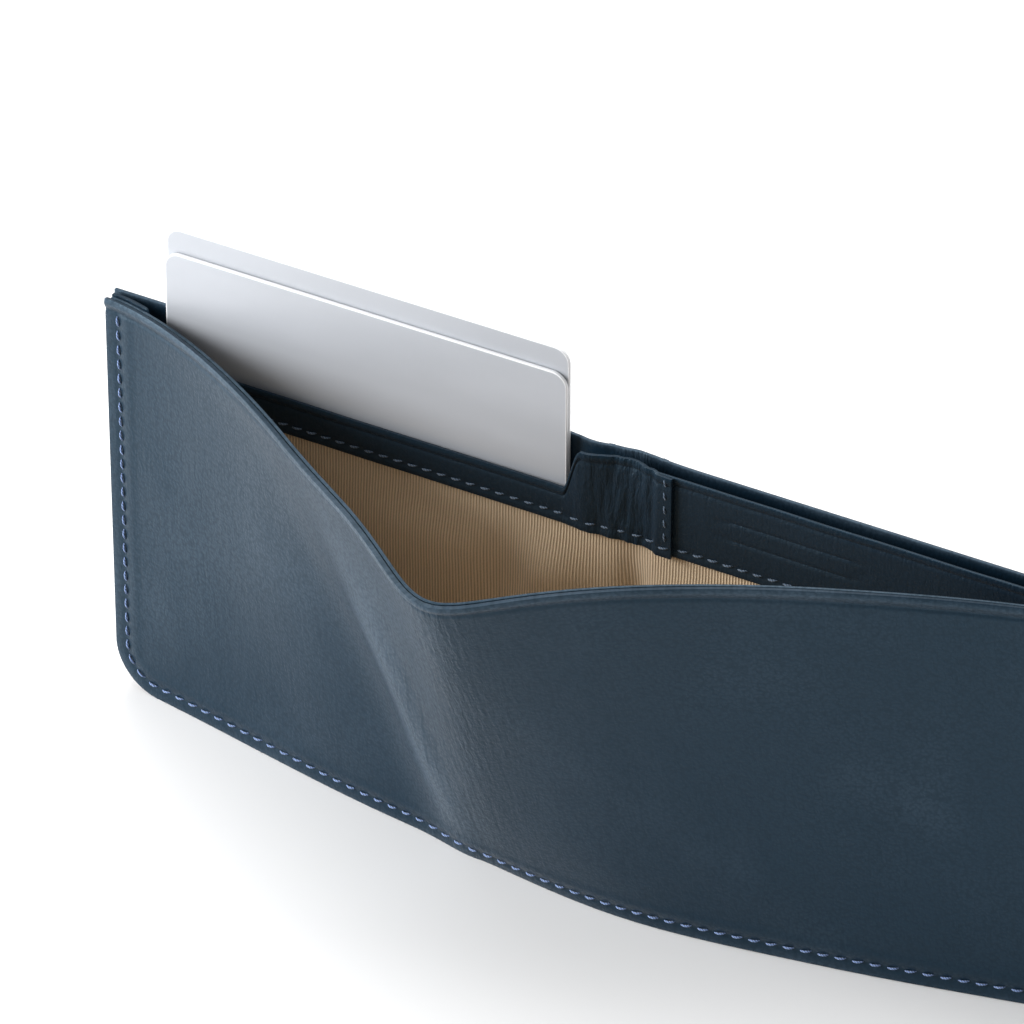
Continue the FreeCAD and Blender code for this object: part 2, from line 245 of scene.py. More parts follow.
def leather(name, base, worn_and_lit, crease=1.0, grain=1.0, roughness=0.42):
    """Fine pebbled leather. The sheet's UV is its flat pattern in metres; attributes steer rubbing, the
    painted highlight along the skin's ridge, and folds.
    """
    f = Finish(name)
    flat = f.node("UVMap", {"uv_map": "pattern"})
    rub = f.node("Attribute", {"attribute_name": "rub"}, output=2)
    wrinkle = f.node("Attribute", {"attribute_name": "wrinkle"}, output=2)
    wander = f.node("TexNoise", None, {"Vector": flat, "Scale": 420.0, "Detail": 2.0}, 1)
    bent = f.node("VectorMath", {"operation": "MULTIPLY_ADD"}, {0: wander, 1: (0.0011,) * 3, 2: flat})
    pebble_inputs = {"Vector": bent, "Scale": 1500.0, "Smoothness": 0.6}
    pebble = f.node("TexVoronoi", {"feature": "SMOOTH_F1"}, pebble_inputs)
    fine = f.cloudy(flat, 3800.0, 3.0, 0.6)
    hair = f.cloudy(f.stretched(bent, (2300.0, 520.0, 1.0), 0.95), 1.0, 2.0, 0.55)
    fold = f.cloudy(f.stretched(bent, (900.0, 120.0, 1.0), -0.45), 1.0, 3.0, 0.6)
    patch = f.cloudy(flat, 34.0, 3.0)
    relief = pebble * (-0.5) + fine * 0.22 + hair * 0.5
    folds = fold * wrinkle * crease
    near = f.bump(relief, 0.00009 * grain, 0.85)
    normal = f.bump(folds, 0.0009, 0.55, near)
    # Lighter where rubbed and, on the outer skin's ridge, a painted highlight; patches and grain add random
    # tone.
    wear_and_highlight = f.smooth(patch + rub * 0.9 + relief * 0.25, 0.45, 1.35)
    tone = f.mix(wear_and_highlight, base, worn_and_lit)
    pores = f.smooth(pebble, 0.25, 0.8)
    dark = tuple(c * 0.55 for c in base)
    final = f.mix(pores * 0.4, tone, dark)
    gloss = fine * 0.12 + patch * 0.10 + pores * 0.10 + (roughness - 0.14) - rub * 0.05
    cool = (0.55, 0.80, 1.0, 1.0)
    constants = {"Specular IOR Level": 0.34, "Specular Tint": cool,
                 "Sheen Weight": 0.02, "Sheen Roughness": 0.4}
    return f.done(constants, Base_Color=final, Roughness=gloss, Normal=normal)


def ribbed_lining(name, base, shade):
    """Tan lining: fine upright ribs crossed by the weft, with painted shade in their valleys."""
    f = Finish(name)
    flat = f.node("UVMap", {"uv_map": "pattern"})
    drift = f.node("TexNoise", None, {"Vector": flat, "Scale": 160.0, "Detail": 2.0}, 1)
    bent = f.node("VectorMath", {"operation": "MULTIPLY_ADD"}, {0: drift, 1: (0.00022,) * 3, 2: flat})
    rib_bands = {"wave_type": "BANDS", "bands_direction": "X", "wave_profile": "SIN"}
    rib = f.node("TexWave", rib_bands, {"Vector": bent, "Scale": 315.0 / 0.62, "Distortion": 0.0}, 1)
    weft_bands = {"wave_type": "BANDS", "bands_direction": "Y", "wave_profile": "SIN"}
    weft = f.node("TexWave", weft_bands, {"Vector": bent, "Scale": 900.0, "Distortion": 0.0}, 1)
    slub = f.cloudy(f.stretched(flat, (1500.0, 180.0, 1.0)), 1.0, 3.0)
    fuzz = f.cloudy(flat, 2600.0, 2.0)
    patch = f.cloudy(flat, 45.0, 2.0)
    height = rib + weft * 0.35 + slub * 0.4
    # Painted shade: rib and weft valleys are mixed toward the shade colour; fuzz and patches add random tone.
    lit = f.smooth(rib * 0.75 + weft * 0.12 + fuzz * 0.35 + patch * 0.25, 0.35, 1.05)
    normal = f.bump(height, 0.00016, 0.9)
    constants = {"Specular IOR Level": 0.2, "Sheen Weight": 0.25, "Sheen Roughness": 0.5}
    rough = fuzz * 0.1 + 0.82
    return f.done(constants, Base_Color=f.mix(lit, shade, base), Roughness=rough, Normal=normal)


def twisted_thread(name, base):
    f = Finish(name)
    place = f.node("TexCoord", output=3)
    twist_bands = {"wave_type": "BANDS", "bands_direction": "DIAGONAL", "wave_profile": "SIN"}
    twist = f.node("TexWave", twist_bands, {"Vector": place, "Scale": 900.0, "Distortion": 1.0}, 1)
    fuzz = f.cloudy(place, 6000.0)
    # Painted shade: darker between the twist's strands; the fuzz adds random tone.
    tone = f.smooth(twist * 0.7 + fuzz * 0.5, 0.2, 1.0)
    dark = tuple(c * 0.35 for c in base)
    rough = fuzz * 0.2 + 0.5
    constants = {"Sheen Weight": 0.3, "Specular IOR Level": 0.4}
    normal = f.bump(twist, 0.00008, 0.8)
    return f.done(constants, Base_Color=f.mix(tone, dark, base), Roughness=rough, Normal=normal)


def card_plastic(name, base):
    f = Finish(name)
    place = f.node("TexCoord", output=3)
    orange_peel = f.cloudy(place, 700.0, 2.0)
    smear = f.cloudy(f.stretched(place, (20.0, 20.0, 60.0)), 1.0, 3.0)
    pale = tuple(min(1.0, c * 1.08) for c in base)
    rough = smear * 0.12 + 0.24
    constants = {"Specular IOR Level": 0.5}
    tone = f.mix(f.smooth(smear, 0.3, 0.7), base, pale)
    # Painted highlight: the edges, and a narrow band round each face, are mixed toward near-white.
    edge = f.node("Attribute", {"attribute_name": "edge"}, output=2)
    tone = f.mix(edge, tone, (0.86, 0.87, 0.89))
    return f.done(constants, Base_Color=tone, Roughness=rough, Normal=f.bump(orange_peel, 0.00003, 0.25))


def grey_board(name, base):
    f = Finish(name)
    place = f.node("TexCoord", output=3)
    fibre = f.cloudy(f.stretched(place, (300.0, 300.0, 900.0)), 1.0, 4.0)
    dark = tuple(c * 0.6 for c in base)
    rough = fibre * 0.1 + 0.8
    normal = f.bump(fibre, 0.0001, 0.5)
    return f.done({}, Base_Color=f.mix(fibre, dark, base), Roughness=rough, Normal=normal)


def floor_paper(name, base):
    f = Finish(name)
    place = f.node("TexCoord", output=3)
    mottle = f.cloudy(place, 12.0, 2.0)
    pale = tuple(min(1.0, c * 1.02) for c in base)
    rough = mottle * 0.1 + 0.75
    return f.done({"Specular IOR Level": 0.1}, Base_Color=f.mix(mottle, base, pale), Roughness=rough)


def finish_for(kind):
    """The finish of a kind of piece, made once."""
    scene = bpy.context.scene
    found = bpy.data.materials.get(kind)
    if found:
        return found
    if kind == "navy_leather":
        return leather(kind, colour(scene, "leather"), colour(scene, "leather_worn"))
    if kind == "strip_leather":
        return leather(kind, colour(scene, "leather_inside"), colour(scene, "leather"), 1.3, 1.3, 0.40)
    if kind == "tan_lining":
        return ribbed_lining(kind, colour(scene, "lining"), colour(scene, "lining_rib_shade"))
    if kind == "blue_thread":
        return twisted_thread(kind, colour(scene, "thread"))
    if kind == "pale_thread":
        return twisted_thread(kind, colour(scene, "thread_pale"))
    if kind == "blank_card":
        return card_plastic(kind, colour(scene, "card"))
    if kind == "stiff_board":
        return grey_board(kind, colour(scene, "board"))
    return floor_paper(kind, colour(scene, "floor"))


# ------------------------------------------------------------------ modelling helpers


def only(obj):
    bpy.ops.object.select_all(action="DESELECT")
    obj.select_set(True)
    bpy.context.view_layer.objects.active = obj


def dress(obj, kind):
    obj.data.materials.clear()
    obj.data.materials.append(finish_for(kind))


def lines(*stops):
    """Places along a line from (end, spacing) stops: each stretch up to end is cut at about spacing."""
    places = [stops[0]]
    for end, spacing in stops[1:]:
        count = max(1, round((end - places[-1]) / spacing))
        start = places[-1]
        places += [start + (end - start) * (i + 1) / count for i in range(count)]
    return np.array(places)


def flat_sheet(name, columns, rows):
    """A grid with vertices at the given columns (X) and rows (Z), facing -Y. Its UV is the flat pattern."""
    bpy.ops.object.select_all(action="DESELECT")
    bpy.ops.mesh.primitive_grid_add(x_subdivisions=len(columns) - 1, y_subdivisions=len(rows) - 1, size=1.0)
    obj = bpy.context.active_object
    obj.name = name
    obj.data.name = name
    mesh = obj.data
    grid = points_of(mesh)
    column = np.rint((grid[:, 0] + 0.5) * (len(columns) - 1)).astype(int)
    row = np.rint((grid[:, 1] + 0.5) * (len(rows) - 1)).astype(int)
    place = np.stack([columns[column], np.zeros(len(column)), rows[row]], axis=1)
    move_points(mesh, place)
    layer = mesh.uv_layers[0]
    layer.name = "pattern"
    corners = np.zeros(len(mesh.loops), np.int32)
    mesh.loops.foreach_get("vertex_index", corners)
    layer.data.foreach_set("uv", place[corners][:, [0, 2]].astype(np.float32).ravel())
    return obj


def points_of(mesh):
    flat = np.zeros(len(mesh.vertices) * 3, np.float32)
    mesh.vertices.foreach_get("co", flat)
    return flat.reshape(-1, 3).astype(float)


def move_points(mesh, points):
    mesh.vertices.foreach_set("co", np.asarray(points, np.float32).ravel())
    mesh.update()


def mark(mesh, name, values):
    layer = mesh.attributes.get(name) or mesh.attributes.new(name, "FLOAT", "POINT")
    layer.data.foreach_set("value", np.asarray(values, np.float32))


def round_corners(x, z, radius, sides=(-1, 1)):
    """Draws a sheet's square bottom corners in to an arc."""
    x = x.copy()
    z = z.copy()
    for side in sides:
        centre_x = side * (LEAF - radius)
        across = side * (x - centre_x)
        down = radius - z
        inside = (across > 0) & (down > 0)
        reach = np.hypot(across, down)
        share = np.where(inside, np.maximum(across, down) / np.maximum(reach, 1e-9), 1.0)
        x = np.where(inside, centre_x + side * across * share, x)
        z = np.where(inside, radius - down * share, z)
    return x, z


def bell(distance, width):
    return np.exp(-((distance / width) ** 2))


def ramp(value, start, end):
    t = np.clip((value - start) / (end - start), 0.0, 1.0)
    return t * t * (3.0 - 2.0 * t)


def ripples(x, z, scale_x, scale_z, seed):
    """Smooth noise between -1 and 1 over a sheet, the same on each run."""
    return np.array([fractal.noise(Vector((a * scale_x, b * scale_z, seed))) for a, b in zip(x, z)])


def thicken(obj, thickness, edge=0.3 * MM, open_at=None):
    """Gives a sheet its thickness behind its face and rounds its edges, but not those along a cut at X."""
    only(obj)
    solid = obj.modifiers.new("thickness", "SOLIDIFY")
    solid.thickness = thickness
    solid.offset = -1.0
    solid.use_even_offset = False
    bpy.ops.object.modifier_apply(modifier=solid.name)
    if edge <= 0:
        bpy.ops.object.shade_smooth_by_angle(angle=math.radians(40))
        return
    bpy.ops.object.mode_set(mode="EDIT")
    bpy.ops.mesh.select_mode(type="EDGE")
    bpy.ops.mesh.select_all(action="DESELECT")
    work = bmesh.from_edit_mesh(obj.data)
    cuts = () if open_at is None else open_at
    for line in work.edges:
        if len(line.link_faces) == 2 and line.calc_face_angle(0.0) > 0.9:
            middle = (line.verts[0].co + line.verts[1].co) / 2
            if all(abs(middle.x - cut) > 1.2 * thickness for cut in cuts):
                line.select = True
    bmesh.update_edit_mesh(obj.data)
    bpy.ops.mesh.bevel(offset=edge, segments=3, affect="EDGES", clamp_overlap=True)
    bpy.ops.object.mode_set(mode="OBJECT")
    bpy.ops.object.shade_smooth_by_angle(angle=math.radians(40))


def part_at(obj, cut, name_low, name_high):
    """Separates a sheet at an X where it has a column, into a piece below it and one above."""
    only(obj)
    obj.name = name_low
    bpy.ops.object.mode_set(mode="EDIT")
    bpy.ops.mesh.select_mode(type="FACE")
    bpy.ops.mesh.select_all(action="DESELECT")
    work = bmesh.from_edit_mesh(obj.data)
    layer = work.loops.layers.uv["pattern"]
    for face in work.faces:
        middle = sum(corner[layer].uv.x for corner in face.loops) / len(face.loops)
        face.select = middle > cut
    bmesh.update_edit_mesh(obj.data)
    bpy.ops.mesh.separate(type="SELECTED")
    bpy.ops.object.mode_set(mode="OBJECT")
    other = [o for o in bpy.context.selected_objects if o is not obj][0]
    other.name = name_high
    other.data.name = name_high
    return obj, other


def pinch(x):
    """How far the layers before the slot are drawn back at the short edges, where all are sewn together."""
    return CLOSING * ramp(np.abs(x), -CARD_LEFT, LEAF - 2 * MM)


def attach(obj, nodes, body=None):
    """Makes a piece ride a body, or bakes its place into its mesh when it has none, and hides the imported
    parts it stands in for.
    """
    if body:
        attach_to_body(obj, body)
    else:
        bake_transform(obj)
    if nodes:
        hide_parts(*nodes)


def attach_in_three(obj, names, thickness, edge, nodes):
    """Parts a sheet at both edges of the spine, then thickens and attaches the three pieces."""
    left, rest = part_at(obj, -SPINE_EDGE, names[0], names[1])
    spine, right = part_at(rest, SPINE_EDGE, names[1], names[2])
    for piece, body, covered in zip((left, spine, right), (LEFT, None, RIGHT), nodes):
        thicken(piece, thickness, edge, (-SPINE_EDGE, SPINE_EDGE))
        attach(piece, covered, body)


# ------------------------------------------------------------------ the outer skin's surface


def rounded_least(a, b, sharpness):
    a = np.maximum(a, 1e-9)
    b = np.maximum(b, 1e-9)
    return (a ** -sharpness + b ** -sharpness) ** (-1.0 / sharpness)


class Skin:
    """The outer skin's shape: straight lines that run from the foot to the pulled-out rim."""

    left_curve = 1.5
    right_curve = 1.6
    apex_sharpness = 9.0
    foot_slope_left = 0.155
    foot_slope_right = 0.18
    foot_sharpness = 6.0
    hem_room = 0.7 * MM

    def __init__(self, sizes):
        self.sizes = sizes
        self.edge_y = STRIP_FRONT - self.hem_room - sizes.skin
        past = 20 * MM
        fan = (sizes.ridge_foot + LEAF) / (sizes.ridge_top + LEAF)
        self.tops = [-LEAF - past, -LEAF, sizes.ridge_top, sizes.apex_x, 0.0, LEAF, LEAF + past]
        self.feet = [-LEAF - past * fan, -LEAF, sizes.ridge_foot, sizes.crease_foot, 0.0, LEAF, LEAF + past]

    def rim_depth(self, x):
        apex = self.sizes.apex_x
        left = np.maximum((x + LEAF) / (LEAF + apex), 0.0) ** self.left_curve
        right = np.maximum((LEAF - x) / (LEAF - apex), 0.0) ** self.right_curve
        gape = self.sizes.gape / MM
        return MM * rounded_least(left * gape, right * gape, self.apex_sharpness)

    def foot_depth(self, x):
        left = self.foot_slope_left * (x + LEAF) / MM
        right = self.foot_slope_right * (LEAF - x) / MM
        return MM * rounded_least(left, right, self.foot_sharpness)

    def foot_of(self, rim_x):
        """Foot X of the line that leaves the rim at an X, eased over the ridge and the crease."""
        near = [np.interp(rim_x + i * 3 * MM, self.tops, self.feet) for i in range(-3, 4)]
        return sum(near) / len(near)

    def line_through(self, x, share):
        """Rim X of the line that passes x at a share of the way up."""
        below = np.full_like(x, -LEAF)
        above = np.full_like(x, LEAF)
        for _ in range(40):
            middle = (below + above) / 2
            there = self.foot_of(middle) * (1 - share) + middle * share
            left = there < x
            below = np.where(left, middle, below)
            above = np.where(left, above, middle)
        return (below + above) / 2

    def plain(self, x, z):
        share = z / HEIGHT
        rim_x = self.line_through(x, share)
        foot_x = self.foot_of(rim_x)
        foot_y = self.edge_y - self.foot_depth(foot_x)
        rim_y = self.edge_y - self.rim_depth(rim_x)
        rim_z = np.sqrt(HEIGHT ** 2 - (rim_x - foot_x) ** 2 - (rim_y - foot_y) ** 2)
        point = [foot_x + (rim_x - foot_x) * share, foot_y + (rim_y - foot_y) * share, rim_z * share]
        return np.stack(point, axis=1)

    def normal(self, x, z):
        step = 0.4 * MM
        right = self.plain(np.minimum(x + step, LEAF), z) - self.plain(np.maximum(x - step, -LEAF), z)
        up = self.plain(x, np.minimum(z + step, HEIGHT)) - self.plain(x, np.maximum(z - step, 0.0))
        out = np.cross(right, up)
        out /= np.maximum(np.linalg.norm(out, axis=1, keepdims=True), 1e-12)
        return out

    def ridge(self, x, z):
        """The soft ridge's share of its full height at a point of the pattern."""
        share = z / HEIGHT
        bow = 5 * MM * np.sin(math.pi * share)
        centre = self.sizes.ridge_foot + (self.sizes.ridge_top - self.sizes.ridge_foot) * share + bow
        width = np.where(x > centre, 3.5 + 4.0 * share, 6.0 + 5.0 * share) * MM
        valley = bell(x - centre + (11 + 8 * share) * MM, (7 + 5 * share) * MM)
        crest = bell(x - centre, width) - 0.45 * valley
        return crest * ramp(share, -0.12, 0.35) * (1 - ramp(share, 0.5, 1.0))

    def surface(self, x, z, inward=0.0):
        """Points of the skin's face, or of a layer that lies inward of it."""
        out = self.normal(x, z)
        lift = self.sizes.ridge_height * self.ridge(x, z)
        points = self.plain(x, z) + out * (lift - inward)[:, None]
        points[:, 1] += CLOSING * ramp(np.abs(x), LEAF - 62 * MM, LEAF - 2 * MM)
        return points


def edge_lines(inner=1.3 * MM):
    """Columns of the skin: close together at the short edges and about the crease."""
    near = 10.5 * MM
    crease = (-32 * MM, -12 * MM)
    return lines(-LEAF, (-LEAF + near, 0.4 * MM), (crease[0], inner), (crease[1], 0.8 * MM), (0.0, inner),
                 (LEAF - near, inner), (LEAF, 0.4 * MM))


class WALLET_OT_outer_skin(bpy.types.Operator):
    """Builds the navy leather outer skin with its rolled rim, soft ridge and crease"""

    bl_idname = "wallet.outer_skin"
    bl_label = "Outer skin"

    def execute(self, context):
        sizes = context.scene.wallet_sizes
        skin = Skin(sizes)
        rows = lines(0.0, (10.5 * MM, 0.42 * MM), (HEIGHT - 5 * MM, 1.3 * MM), (HEIGHT, 0.25 * MM))
        obj = flat_sheet("outer_skin", edge_lines(), rows)
        flat = points_of(obj.data)
        away = np.minimum(LEAF - np.abs(flat[:, 0]), flat[:, 2])
        x, z = round_corners(flat[:, 0], flat[:, 2], sizes.corner)
        points = skin.surface(x, z)
        out = skin.normal(x, z)
        points += out * self.relief(skin, flat, away)[:, None]
        move_points(obj.data, points)
        ridge = skin.ridge(x, z)
        share = z / HEIGHT
        crease_x = sizes.crease_foot + (sizes.apex_x - sizes.crease_foot) * share
        crease = bell(x - crease_x, 9 * MM) * (0.35 + 0.65 * share)
        rim = bell(HEIGHT - flat[:, 2] - 0.7 * MM, 0.9 * MM)
        border = bell(away, 1.0 * MM)
        fan = bell(x - (crease_x - 22 * MM * share), 18 * MM) * ramp(share, 0.2, 0.7)
        ridge = np.clip(ridge, 0.0, 1.0)
        # Lighter along the soft ridge: painted highlight. Lighter at the rim, border and crease: wear.
        mark(obj.data, "rub", 0.8 * ridge + 0.55 * rim + 0.35 * border + 0.15 * crease)
        mark(obj.data, "wrinkle", np.clip(0.15 + 0.5 * ridge + crease + 0.35 * fan, 0.0, 1.0))
        dress(obj, "navy_leather")
        thicken(obj, sizes.skin, 0.32 * MM)
        attach(obj, ("outer_skin_left", "outer_skin_right"))
        return {"FINISHED"}

    def relief(self, skin, flat, away):
        """How far the face stands off its plain shape: rolled rim, stitch dip and slow unevenness."""
        x, z = flat[:, 0], flat[:, 2]
        from_rim = HEIGHT - z
        inset = skin.sizes.stitch_inset
        roll = 0.35 * MM * bell(from_rim - 0.9 * MM, 0.8 * MM)
        roll = roll - 0.22 * MM * bell(from_rim - 2.5 * MM, 0.5 * MM)
        clear = ramp(from_rim, 1.5 * MM, 3.5 * MM)
        dip = -0.22 * MM * bell(away - inset, 0.7 * MM) + 0.14 * MM * bell(away - inset - 2.2 * MM, 1.1 * MM)
        calm = ramp(away, 3 * MM, 14 * MM) * ramp(from_rim, 2 * MM, 10 * MM)
        waves = 0.35 * MM * ripples(x, z, 55.0, 30.0, 3.1) + 0.10 * MM * ripples(x, z, 160.0, 90.0, 7.7)
        return roll + dip * clear + waves * calm


class WALLET_OT_skin_inside(bpy.types.Operator):
    """Builds the turned hem, the lining of the skin and the floor of the note compartment"""

    bl_idname = "wallet.skin_inside"
    bl_label = "Hem, skin lining and floor"

    def execute(self, context):
        sizes = context.scene.wallet_sizes
        skin = Skin(sizes)
        inset = 0.6 * MM
        gap = 0.05 * MM
        self.layer(skin, "outer_hem", HEIGHT - sizes.hem_width, HEIGHT - 0.35 * MM, inset, sizes.hem,
                   "navy_leather", "leather")
        self.layer(skin, "outer_lining", 2 * MM, HEIGHT - sizes.hem_width - gap, 2 * MM, 0.4 * MM,
                   "tan_lining", "lining_fabric")
        self.compartment_floor(skin)
        return {"FINISHED"}

    def layer(self, skin, name, z_low, z_high, inset, thickness, kind, slot):
        columns = lines(-LEAF + inset, (-32 * MM, 1.8 * MM), (-12 * MM, 1.0 * MM), (LEAF - inset, 1.8 * MM))
        step = 0.8 * MM if z_high - z_low < 20 * MM else 2.2 * MM
        obj = flat_sheet(name, columns, lines(z_low, (z_high, step)))
        flat = points_of(obj.data)
        x, z = round_corners(flat[:, 0], flat[:, 2], skin.sizes.corner - inset)
        move_points(obj.data, skin.surface(x, z, skin.sizes.skin + 0.06 * MM))
        mark(obj.data, "rub", 0.5 * bell(HEIGHT - flat[:, 2], 1.2 * MM))
        mark(obj.data, "wrinkle", np.full(len(flat), 0.3))
        dress(obj, kind)
        thicken(obj, thickness, 0.12 * MM)
        attach(obj, (name + "_left", name + "_right"))

    def compartment_floor(self, skin):
        """A strip of lining along the bottom, from the inner panel out to the skin."""
        reach = high("note_floor_right").x - 1 * MM
        obj = flat_sheet("note_floor", lines(-reach, (reach, 2 * MM)), lines(0.0, (1.0, 0.125)))
        flat = points_of(obj.data)
        inner = STRIP_FRONT - 0.05 * MM
        outer = skin.edge_y - skin.foot_depth(flat[:, 0]) + skin.sizes.skin + 0.9 * MM
        outer = np.minimum(outer, inner - 0.3 * MM)
        share = flat[:, 2]
        y = outer + (inner - outer) * share + pinch(flat[:, 0])
        top = low("note_floor_right").z + 0.4 * MM
        sag = 0.25 * MM * np.sin(math.pi * share)
        points = np.stack([flat[:, 0], y, np.full(len(y), top) + sag], axis=1)
        move_points(obj.data, points)
        dress(obj, "tan_lining")
        thicken(obj, 0.4 * MM, 0.1 * MM)
        attach(obj, ("note_floor_left", "note_floor_right"))


# ------------------------------------------------------------------ the inner panel


def spine_bow(x):
    """How the strips and panels leave the flat across the spine: out at its left, back at its right."""
    return -1.3 * MM * bell(x + 9 * MM, 3.4 * MM) + 0.9 * MM * bell(x - 0.5 * MM, 3.6 * MM)


class WALLET_OT_inner_strips(bpy.types.Operator):
    """Builds the leather strips along the top of the inner panel, with the notch and the lapped seam"""

    bl_idname = "wallet.inner_strips"
    bl_label = "Inner strips"
    cut = -13.5 * MM

    def execute(self, context):
        sizes = context.scene.wallet_sizes
        self.left_and_spine(sizes)
        self.right(sizes)
        return {"FINISHED"}

    def left_and_spine(self, sizes):
        notch_low = HEIGHT - sizes.notch_depth
        side = 0.7 * MM
        left_end, right_end = CARD_LEFT - side, CARD_RIGHT + side
        run = sizes.notch_run
        start = low("slot_strip_left").x
        columns = lines(start, (left_end - run - 1 * MM, 1.2 * MM), (left_end + 2 * MM, 0.35 * MM),
                        (right_end - 2 * MM, 1.4 * MM), (self.cut, 0.35 * MM),
                        (right_end + run + 4 * MM, 0.35 * MM),
                        (LAP_EDGE, 0.45 * MM))
        rows = lines(0.0, (0.25, 0.03), (0.72, 0.06), (1.0, 0.02))
        obj = flat_sheet("slot_strip", columns, rows)
        flat = points_of(obj.data)
        x, share = flat[:, 0], flat[:, 2]
        rise_right = ramp(x, right_end - 0.8 * MM, right_end + run)
        rise_left = 1 - ramp(x, left_end - run, left_end + 0.8 * MM)
        top = notch_low + (HEIGHT - notch_low) * np.maximum(rise_right, rise_left)
        top = top + 0.35 * MM * bell(x - 1 * MM, 6 * MM)
        z = STRIP_LOW + (top - STRIP_LOW) * share
        from_rim, from_low = top - z, z - STRIP_LOW
        y = np.full(len(x), STRIP_FRONT) + spine_bow(x) * (0.45 + 0.55 * share)
        lap = ramp(x, SPINE_EDGE - 1.2 * MM, SPINE_EDGE + 0.2 * MM)
        y -= lap * LAP_PROUD
        y += strip_relief(x, z, from_rim, from_low) + pinch(x)
        spine = bell(x, 9 * MM) * (1 - ramp(x, SPINE_EDGE - 2 * MM, SPINE_EDGE + 1 * MM))
        y += spine * 0.55 * MM * ripples(x, z, 420.0, 70.0, 1.7)
        y += spine * 0.25 * MM * ripples(x, z, 900.0, 260.0, 5.2)
        move_points(obj.data, np.stack([x, y, z], axis=1))
        write_pattern(obj.data, x, z)
        mark(obj.data, "rub", 0.75 * bell(from_rim, 0.7 * MM) + 0.3 * bell(from_low, 0.5 * MM)
             + 0.35 * bell(x - LAP_EDGE, 0.6 * MM) + 0.25 * spine)
        mark(obj.data, "wrinkle", np.clip(0.1 + spine, 0.0, 1.0))
        dress(obj, "strip_leather")
        strip, spine_piece = part_at(obj, self.cut, "slot_strip", "spine_strip")
        for piece in (strip, spine_piece):
            thicken(piece, 0.75 * MM, 0.22 * MM, (self.cut,))
        attach(strip, ("slot_strip_left",), LEFT)
        attach(spine_piece, ("spine_strip",), None)

    def right(self, sizes):
        columns = lines(SPINE_EDGE - 0.8 * MM, (SPINE_EDGE + 6 * MM, 0.6 * MM), (LEAF - 0.6 * MM, 1.4 * MM))
        rows = lines(STRIP_LOW, (STRIP_LOW + 5 * MM, 0.5 * MM), (HEIGHT - 4 * MM, 0.45 * MM),
                     (HEIGHT, 0.3 * MM))
        obj = flat_sheet("top_strip_right", columns, rows)
        flat = points_of(obj.data)
        x, z = flat[:, 0], flat[:, 2]
        from_rim, from_low = HEIGHT - z, z - STRIP_LOW
        y = np.full(len(x), STRIP_FRONT) + strip_relief(x, z, from_rim, from_low) + 0.03 * MM
        y += 0.25 * MM * self.debossed_border(x, z) + pinch(x)
        move_points(obj.data, np.stack([x, y, z], axis=1))
        mark(obj.data, "rub", 0.75 * bell(from_rim, 0.7 * MM) + 0.3 * bell(from_low, 0.5 * MM))
        mark(obj.data, "wrinkle", np.full(len(x), 0.12))
        dress(obj, "strip_leather")
        thicken(obj, 0.75 * MM, 0.22 * MM)
        attach(obj, ("top_strip_right",), RIGHT)

    def debossed_border(self, x, z):
        """A plain pressed ornament: two parallel lines that close in a half round at each end."""
        middle_x, middle_z = LAP_EDGE + 24 * MM, HEIGHT - 8.2 * MM
        half_length, half_height = 13 * MM, 2.0 * MM
        across = np.maximum(np.abs(x - middle_x) - half_length, 0.0)
        distance = np.abs(np.hypot(across, z - middle_z) - half_height)
        return bell(distance, 0.32 * MM)


def strip_relief(x, z, from_rim, from_low):
    """Rounded rim, the creased line below it and the dip along the stitching. Towards -Y stands out."""
    rim = -0.16 * MM * bell(from_rim - 0.8 * MM, 0.7 * MM) + 0.22 * MM * bell(from_rim - 1.9 * MM, 0.35 * MM)
    dip = 0.16 * MM * bell(from_low - 2 * MM, 0.6 * MM) - 0.10 * MM * bell(from_low - 0.8 * MM, 0.6 * MM)
    slow = 0.12 * MM * ripples(x, z, 90.0, 60.0, 9.4)
    return rim + dip + slow


def write_pattern(mesh, x, z):
    """Writes the flat pattern into the UV, for a sheet whose rows follow its outline."""
    corners = np.zeros(len(mesh.loops), np.int32)
    mesh.loops.foreach_get("vertex_index", corners)
    pattern = np.stack([x, z], axis=1)[corners]
    mesh.uv_layers["pattern"].data.foreach_set("uv", pattern.astype(np.float32).ravel())


